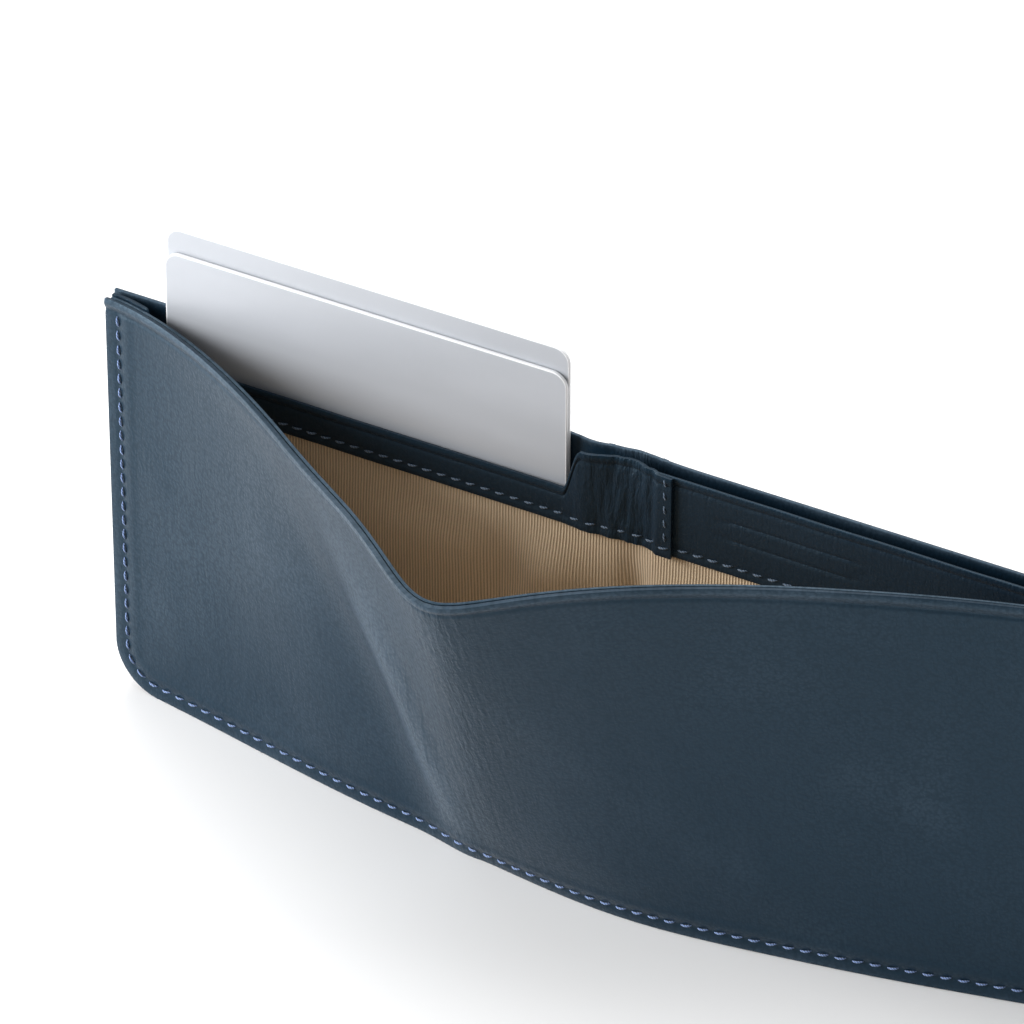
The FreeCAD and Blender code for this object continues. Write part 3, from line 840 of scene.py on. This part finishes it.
class WALLET_OT_tan_lining(bpy.types.Operator):
    """Builds the ribbed tan lining of the inner panel, with its soft bulges and the pleat at the spine"""

    bl_idname = "wallet.tan_lining"
    bl_label = "Tan lining"

    def execute(self, context):
        sizes = context.scene.wallet_sizes
        z_low, z_high = low("note_lining_left").z, high("note_lining_left").z
        columns = lines(-LEAF + 2.2 * MM, (-24 * MM, 1.6 * MM), (-SPINE_EDGE, 0.7 * MM),
                        (SPINE_EDGE, 0.6 * MM),
                        (24 * MM, 0.9 * MM), (LEAF - 2.2 * MM, 1.6 * MM))
        obj = flat_sheet("note_lining", columns, lines(z_low, (z_high, 1.2 * MM)))
        flat = points_of(obj.data)
        x, z = round_corners(flat[:, 0], flat[:, 2], sizes.corner - 0.6 * MM)
        x = np.clip(x, -LEAF + 2.2 * MM, LEAF - 2.2 * MM)
        free = 1 - ramp(z, STRIP_LOW - 14 * MM, STRIP_LOW - 1 * MM)
        calm = ramp(LEAF - np.abs(x), 2 * MM, 20 * MM) * ramp(z, 0.0, 10 * MM)
        bulge = 1.9 * bell(x + 42 * MM, 17 * MM) + 2.2 * bell(x + 17 * MM, 7 * MM)
        bulge = bulge + 1.6 * bell(x - 14 * MM, 9 * MM)
        pleat = 1.5 * bell(x - 1 * MM, 3.2 * MM) + 0.9 * bell(x + 28 * MM - (z - 50 * MM) * 0.25, 5 * MM)
        waves = 0.5 * ripples(x, z, 60.0, 22.0, 4.4) + 0.2 * ripples(x, z, 150.0, 60.0, 8.3)
        lift = (bulge - pleat + waves) * MM * free * calm
        lift = np.maximum(lift, -(0.1 + 1.5 * bell(x, 4.5 * MM)) * MM)
        y = LINING_FRONT - lift + 0.8 * MM * bell(x - 0.5 * MM, 3.0 * MM) + pinch(x)
        move_points(obj.data, np.stack([x, y, z], axis=1))
        dress(obj, "tan_lining")
        names = ("note_lining_left_cloth", "spine_lining_cloth", "note_lining_right_cloth")
        nodes = (("note_lining_left", "slot_seam_left"), ("spine_lining",),
                 ("note_lining_right", "slot_seam_right"))
        attach_in_three(obj, names, 0.35 * MM, 0.0, nodes)
        return {"FINISHED"}


class WALLET_OT_back_panels(bpy.types.Operator):
    """Builds the back panels and the leather across the inside of the spine"""

    bl_idname = "wallet.back_panels"
    bl_label = "Back panels"

    def execute(self, context):
        sizes = context.scene.wallet_sizes
        near = 4 * MM
        columns = lines(-LEAF, (-LEAF + near, 0.5 * MM), (-SPINE_EDGE, 2.0 * MM), (SPINE_EDGE, 0.6 * MM),
                        (LEAF - near, 2.0 * MM), (LEAF, 0.5 * MM))
        rows = lines(0.0, (near, 0.5 * MM), (HEIGHT - near, 1.8 * MM), (HEIGHT, 0.35 * MM))
        obj = flat_sheet("back_panel", columns, rows)
        flat = points_of(obj.data)
        away = np.minimum(np.minimum(LEAF - np.abs(flat[:, 0]), flat[:, 2]), HEIGHT - flat[:, 2])
        x, z = round_corners(flat[:, 0], flat[:, 2], sizes.corner)
        crease = bell(x, 4 * MM)
        y = np.full(len(x), PANEL_FRONT)
        y += crease * (0.35 * MM * ripples(x, z, 500.0, 60.0, 2.2) - 0.2 * MM)
        y += 0.5 * spine_bow(x) * ramp(z, HEIGHT * 0.6, HEIGHT)
        z = z + 0.35 * MM * bell(x - 1 * MM, 6 * MM) * ramp(flat[:, 2], HEIGHT - 8 * MM, HEIGHT)
        move_points(obj.data, np.stack([x, y, z], axis=1))
        mark(obj.data, "rub", 0.7 * bell(away, 0.8 * MM) + 0.3 * crease)
        mark(obj.data, "wrinkle", np.clip(0.1 + crease, 0.0, 1.0))
        dress(obj, "navy_leather")
        names = ("back_panel_left_leather", "spine_inner_leather", "back_panel_right_leather")
        nodes = (("back_panel_left",), ("spine_inner_strip",), ("back_panel_right",))
        attach_in_three(obj, names, PANEL_BACK - PANEL_FRONT, 0.22 * MM, nodes)
        return {"FINISHED"}


class WALLET_OT_card_pockets(bpy.types.Operator):
    """Builds the stepped card pockets on the inside faces"""

    bl_idname = "wallet.card_pockets"
    bl_label = "Card pockets"

    def execute(self, context):
        for word, body in (("left", LEFT), ("right", RIGHT)):
            for level in POCKETS:
                self.pocket(context.scene.wallet_sizes, f"pocket_{level}_{word}", body)
        return {"FINISHED"}

    def pocket(self, sizes, node, body):
        bottom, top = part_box(node)
        columns = lines(bottom.x, (bottom.x + 4 * MM, 0.5 * MM), (top.x - 4 * MM, 2.0 * MM),
                        (top.x, 0.5 * MM))
        rows = lines(bottom.z, (top.z - 4 * MM, 1.5 * MM), (top.z, 0.3 * MM))
        obj = flat_sheet(node + "_leather", columns, rows)
        flat = points_of(obj.data)
        x, z = flat[:, 0], flat[:, 2]
        from_rim = top.z - z
        if bottom.z < 1 * MM:
            x, z = round_corners(x, z, sizes.corner)
        outer = top.y
        calm = ramp(np.minimum(flat[:, 0] - bottom.x, top.x - flat[:, 0]), 2 * MM, 14 * MM)
        line = 0.22 * MM * bell(from_rim - 2.0 * MM, 0.35 * MM)
        soft = 0.10 * MM * ripples(x, z, 70.0, 50.0, bottom.z * 100 + bottom.x * 10) * calm
        y = np.full(len(x), outer) - line - np.abs(soft)
        move_points(obj.data, np.stack([x, y, z], axis=1))
        mark(obj.data, "rub", 0.7 * bell(from_rim, 0.7 * MM))
        mark(obj.data, "wrinkle", np.full(len(x), 0.12))
        only(obj)
        bpy.ops.object.mode_set(mode="EDIT")
        bpy.ops.mesh.select_all(action="SELECT")
        bpy.ops.mesh.flip_normals()
        bpy.ops.object.mode_set(mode="OBJECT")
        dress(obj, "navy_leather")
        thicken(obj, top.y - bottom.y - 0.25 * MM, 0.2 * MM)
        attach(obj, (node,), body)


class WALLET_OT_cards(bpy.types.Operator):
    """Builds the two blank cards"""

    bl_idname = "wallet.cards"
    bl_label = "Blank cards"

    def execute(self, context):
        for node in ("card_front", "card_rear"):
            bottom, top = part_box(node)
            bpy.ops.object.select_all(action="DESELECT")
            middle = (bottom + top) / 2
            bpy.ops.mesh.primitive_cube_add(size=1.0, location=middle)
            obj = bpy.context.active_object
            obj.name = node + "_blank"
            obj.scale = top - bottom
            bpy.ops.object.transform_apply(location=True, rotation=True, scale=True)
            self.bevel(obj, context.scene.wallet_sizes.card_corner, 10, lambda line: self.upright(line))
            self.bevel(obj, 0.14 * MM, 3, lambda line: line.calc_face_angle(0.0) > 0.9)
            self.paint_edge_highlight(obj)
            bpy.ops.object.shade_smooth_by_angle(angle=math.radians(30))
            dress(obj, "blank_card")
            attach(obj, (node,), node)
        return {"FINISHED"}

    def paint_edge_highlight(self, obj):
        """Frames both faces with a narrow band, and marks all outside it as edge, which the card's finish
        lights with a painted highlight.
        """
        only(obj)
        bpy.ops.object.mode_set(mode="EDIT")
        bpy.ops.mesh.select_mode(type="FACE")
        bpy.ops.mesh.select_all(action="DESELECT")
        work = bmesh.from_edit_mesh(obj.data)
        largest = max(face.calc_area() for face in work.faces)
        for face in work.faces:
            face.select = face.calc_area() > 0.9 * largest
        bmesh.update_edit_mesh(obj.data)
        bpy.ops.mesh.inset(thickness=0.2 * MM)
        work = bmesh.from_edit_mesh(obj.data)
        inner = {v.index for face in work.faces if face.select for v in face.verts}
        bpy.ops.object.mode_set(mode="OBJECT")
        mark(obj.data, "edge", [0.0 if v.index in inner else 1.0 for v in obj.data.vertices])

    def upright(self, line):
        """Whether an edge runs through the card's thickness."""
        way = line.verts[0].co - line.verts[1].co
        return abs(way.x) < 1e-6 and abs(way.z) < 1e-6

    def bevel(self, obj, width, segments, wanted):
        only(obj)
        bpy.ops.object.mode_set(mode="EDIT")
        bpy.ops.mesh.select_mode(type="EDGE")
        bpy.ops.mesh.select_all(action="DESELECT")
        work = bmesh.from_edit_mesh(obj.data)
        for line in work.edges:
            line.select = wanted(line)
        bmesh.update_edit_mesh(obj.data)
        bpy.ops.mesh.bevel(offset=width, segments=segments, affect="EDGES")
        bpy.ops.object.mode_set(mode="OBJECT")


# ------------------------------------------------------------------ stitching


class WALLET_OT_stitching(bpy.types.Operator):
    """Sews the thread along the edges, the strips, the lapped seam and the inside faces"""

    bl_idname = "wallet.stitching"
    bl_label = "Stitching"

    def execute(self, context):
        sizes = context.scene.wallet_sizes
        skin = Skin(sizes)
        self.pattern = self.one_stitch(sizes)

        def on_skin(x, z):
            at = (np.array([x]), np.array([z]))
            point = skin.surface(*at)[0]
            return Vector(point), Vector(skin.normal(*at)[0])

        def on_strip(x, z):
            bow = float(spine_bow(np.array([x]))[0]) if x < LAP_EDGE else 0.0
            lap = -LAP_PROUD if SPINE_EDGE < x < LAP_EDGE else 0.0
            y = STRIP_FRONT + 0.08 * MM + 0.5 * bow + lap + float(pinch(x))
            return Vector((x, y, z)), Vector((0, -1, 0))

        def on_inside(x, z):
            y = PANEL_BACK
            for level in POCKETS:
                bottom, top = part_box(f"pocket_{level}_left")
                if z < top.z + sizes.stitch_length / 2:
                    y = top.y
            return Vector((x, y - 0.02 * MM, z)), Vector((0, 1, 0))

        strip_z = STRIP_LOW + 2 * MM
        edge = LEAF - sizes.stitch_inset
        seam_x = (SPINE_EDGE + LAP_EDGE) / 2 + 0.3 * MM
        left_run = [(-edge, strip_z), (-SPINE_EDGE - 7 * MM, strip_z)]
        spine_run = [(-SPINE_EDGE - 6.5 * MM, strip_z), (LAP_EDGE - 0.8 * MM, strip_z)]
        right_run = [(LAP_EDGE + 0.5 * MM, strip_z), (edge, strip_z)]
        seam_run = [(seam_x, strip_z + 1 * MM), (seam_x, HEIGHT - 0.8 * MM)]
        outer = self.edge_path(sizes, -1) + self.edge_path(sizes, 1)[::-1]
        self.row("thread_outer", outer, sizes.outer_pitch, on_skin, "blue_thread",
                 ("thread_outer_left", "thread_outer_right"), None)
        for name, run, nodes, body in (
                ("thread_strip_left_sewn", left_run, ("thread_strip_left",), LEFT),
                ("thread_spine_sewn", spine_run, (), None),
                ("thread_strip_right_sewn", right_run, ("thread_strip_right",), RIGHT),
                ("thread_seam_sewn", seam_run, ("thread_seam",), RIGHT)):
            self.row(name, run, sizes.strip_pitch, on_strip, "pale_thread", nodes, body, SPINE_EDGE)
        for side, word, body in ((-1, "left", LEFT), (1, "right", RIGHT)):
            path = [p for p in self.edge_path(sizes, side) if abs(p[0]) > SPINE_EDGE + 2 * MM]
            self.row(f"thread_inner_{word}_sewn", path, sizes.outer_pitch, on_inside, "blue_thread",
                     (f"thread_inner_{word}",), body)
        bpy.data.objects.remove(self.pattern)
        return {"FINISHED"}

    def one_stitch(self, sizes):
        """One stitch, lying along X and bowed up along Z, with its ends diving into the leather."""
        bpy.ops.object.select_all(action="DESELECT")
        bpy.ops.mesh.primitive_cylinder_add(vertices=8, radius=0.5, depth=1.0, end_fill_type="NGON",
                                            rotation=(0.0, math.radians(90), 0.0))
        obj = bpy.context.active_object
        bpy.ops.object.transform_apply(location=False, rotation=True, scale=False)
        bpy.ops.object.mode_set(mode="EDIT")
        bpy.ops.mesh.select_all(action="DESELECT")
        work = bmesh.from_edit_mesh(obj.data)
        along = [e for e in work.edges if abs(e.verts[0].co.x - e.verts[1].co.x) > 0.5]
        bmesh.ops.subdivide_edges(work, edges=along, cuts=5, use_grid_fill=True)
        for v in work.verts:
            t = 2 * v.co.x
            girth = (1 - abs(t) ** 3 * 0.55)
            v.co.y *= girth * (1 + 0.12 * math.sin(t * 9))
            v.co.z = v.co.z * girth + 0.35 - 0.75 * t * t
        bmesh.update_edit_mesh(obj.data)
        bpy.ops.object.mode_set(mode="OBJECT")
        points = points_of(obj.data) * np.array([sizes.stitch_length, sizes.stitch_width, sizes.stitch_width])
        move_points(obj.data, points)
        bpy.ops.object.shade_smooth()
        obj.name = "stitch_pattern"
        return obj

    def edge_path(self, sizes, side):
        """Down the short edge, round the corner and along the bottom to the fold."""
        edge_x = LEAF - sizes.stitch_inset
        radius = sizes.corner - sizes.stitch_inset
        centre = LEAF - sizes.corner
        path = [(edge_x, z) for z in np.arange(HEIGHT - sizes.stitch_inset, sizes.corner, -1 * MM)]
        for i in range(13):
            turn = math.radians(90) * i / 12
            path.append((centre + radius * math.cos(turn), sizes.corner - radius * math.sin(turn)))
        path += [(x, sizes.stitch_inset) for x in np.arange(centre - 1 * MM, 0.4 * MM, -1 * MM)]
        return [(side * x, z) for x, z in path]

    def row(self, name, path, pitch, place, kind, nodes, body, reach=FOLD_REACH):
        """Copies the stitch along a path of (x, z) points and joins the copies."""
        copies = []
        travelled, wanted = 0.0, pitch / 2
        probe = 0.02 * MM
        for (x, z), (next_x, next_z) in zip(path, path[1:]):
            step = math.hypot(next_x - x, next_z - z)
            way = ((next_x - x) / step, (next_z - z) / step)
            while wanted <= travelled + step:
                done = wanted - travelled
                point, normal = place(x + way[0] * done, z + way[1] * done)
                ahead, _ = place(x + way[0] * (done + probe), z + way[1] * (done + probe))
                copies.append(self.copy_at(point, ahead - point, normal, len(copies)))
                wanted += pitch
            travelled += step
        bpy.ops.object.select_all(action="DESELECT")
        for copy in copies:
            copy.select_set(True)
        bpy.context.view_layer.objects.active = copies[0]
        bpy.ops.object.join()
        obj = bpy.context.active_object
        obj.name = name
        obj.data.name = name
        dress(obj, kind)
        attach(obj, nodes, body)

    def copy_at(self, point, along, normal, number):
        along = along.normalized()
        across = normal.cross(along).normalized()
        along = across.cross(normal).normalized()
        slant = math.radians(9.0 + 2.0 * math.sin(number * 2.4))
        turned = along * math.cos(slant) + across * math.sin(slant)
        side = normal.cross(turned)
        matrix = Matrix((
            (turned.x, side.x, normal.x, point.x),
            (turned.y, side.y, normal.y, point.y),
            (turned.z, side.z, normal.z, point.z),
            (0, 0, 0, 1)))
        copy = self.pattern.copy()
        copy.data = self.pattern.data.copy()
        copy.data.transform(matrix)
        bpy.context.scene.collection.objects.link(copy)
        return copy


class WALLET_OT_hidden_plies(bpy.types.Operator):
    """Gives the hidden slot backings and stiffeners the dyed board finish"""

    bl_idname = "wallet.hidden_plies"
    bl_label = "Hidden plies"

    def execute(self, context):
        for word in ("left", "right"):
            for node in ("slot_backing_", "stiffener_"):
                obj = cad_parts[node + word]
                obj.data.materials.clear()
                obj.data.materials.append(finish_for("stiff_board"))
        return {"FINISHED"}


class WALLET_OT_stage(bpy.types.Operator):
    """Sets up the pale floor, the soft light and the camera"""

    bl_idname = "wallet.stage"
    bl_label = "Stage"

    def execute(self, context):
        bpy.ops.object.select_all(action="DESELECT")
        bpy.ops.mesh.primitive_plane_add(size=6.0, location=(0.0, 0.0, -0.0002))
        floor = bpy.context.active_object
        floor.name = "floor"
        dress(floor, "floor_paper")
        self.world(context.scene)
        self.area("key", (-0.85, -0.42, 0.34), 0.55, 16.5, (-0.05, 0.0, 0.05))
        self.area("top", (-0.10, 0.50, 1.15), 1.3, 17.0, (-0.04, 0.0, 0.03))
        self.camera(context.scene)
        return {"FINISHED"}

    def world(self, scene):
        world = bpy.data.worlds.new("studio")
        scene.world = world
        world.use_nodes = True
        back = world.node_tree.nodes["Background"]
        back.inputs["Color"].default_value = (1.0, 1.0, 1.0, 1.0)
        back.inputs["Strength"].default_value = 0.36
        scene.view_settings.view_transform = "Standard"

    def area(self, name, place, size, power, target):
        data = bpy.data.lights.new(name, "AREA")
        data.shape = "SQUARE"
        data.size = size
        data.energy = power
        light = bpy.data.objects.new(name, data)
        bpy.context.scene.collection.objects.link(light)
        light.location = place
        way = Vector(target) - Vector(place)
        light.rotation_euler = way.to_track_quat("-Z", "Y").to_euler()

    def camera(self, scene):
        azimuth, elevation = math.radians(28.7), math.radians(35.8)
        distance = 1.63
        target = Vector((-0.0418, STRIP_FRONT + 0.0318, HEIGHT / 2 - 0.0005))
        back = Vector((
            math.sin(azimuth) * math.cos(elevation),
            -math.cos(azimuth) * math.cos(elevation),
            math.sin(elevation)))
        data = bpy.data.cameras.new("camera")
        data.lens = 300.0
        data.sensor_width = 36.0
        data.clip_end = 20.0
        camera = bpy.data.objects.new("camera", data)
        scene.collection.objects.link(camera)
        camera.location = target + back * distance
        camera.rotation_euler = (-back).to_track_quat("-Z", "Y").to_euler()
        scene.camera = camera


STEPS = (
    WALLET_OT_outer_skin,
    WALLET_OT_skin_inside,
    WALLET_OT_inner_strips,
    WALLET_OT_tan_lining,
    WALLET_OT_back_panels,
    WALLET_OT_card_pockets,
    WALLET_OT_cards,
    WALLET_OT_stitching,
    WALLET_OT_hidden_plies,
    WALLET_OT_stage,
)


class WALLET_PT_panel(bpy.types.Panel):
    """Lists the wallet's sizes, colours and pieces"""

    bl_label = "Bifold wallet"
    bl_idname = "WALLET_PT_panel"
    bl_space_type = "VIEW_3D"
    bl_region_type = "UI"
    bl_category = "Wallet"

    def draw(self, context):
        for group in (context.scene.wallet_sizes, context.scene.wallet_colours):
            box = self.layout.box()
            for name in group.bl_rna.properties.keys():
                if name not in ("rna_type", "name"):
                    box.prop(group, name)
        for step in STEPS:
            self.layout.operator(step.bl_idname)


CLASSES = (WalletSizes, WalletColours) + STEPS + (WALLET_PT_panel,)


def register():
    for entry in CLASSES:
        bpy.utils.register_class(entry)
    bpy.types.Scene.wallet_sizes = bpy.props.PointerProperty(type=WalletSizes)
    bpy.types.Scene.wallet_colours = bpy.props.PointerProperty(type=WalletColours)


def unregister():
    del bpy.types.Scene.wallet_colours
    del bpy.types.Scene.wallet_sizes
    for entry in reversed(CLASSES):
        bpy.utils.unregister_class(entry)


def main():
    register()
    for step in STEPS:
        family, name = step.bl_idname.split(".")
        getattr(getattr(bpy.ops, family), name)()


if __name__ == "__main__":
    main()
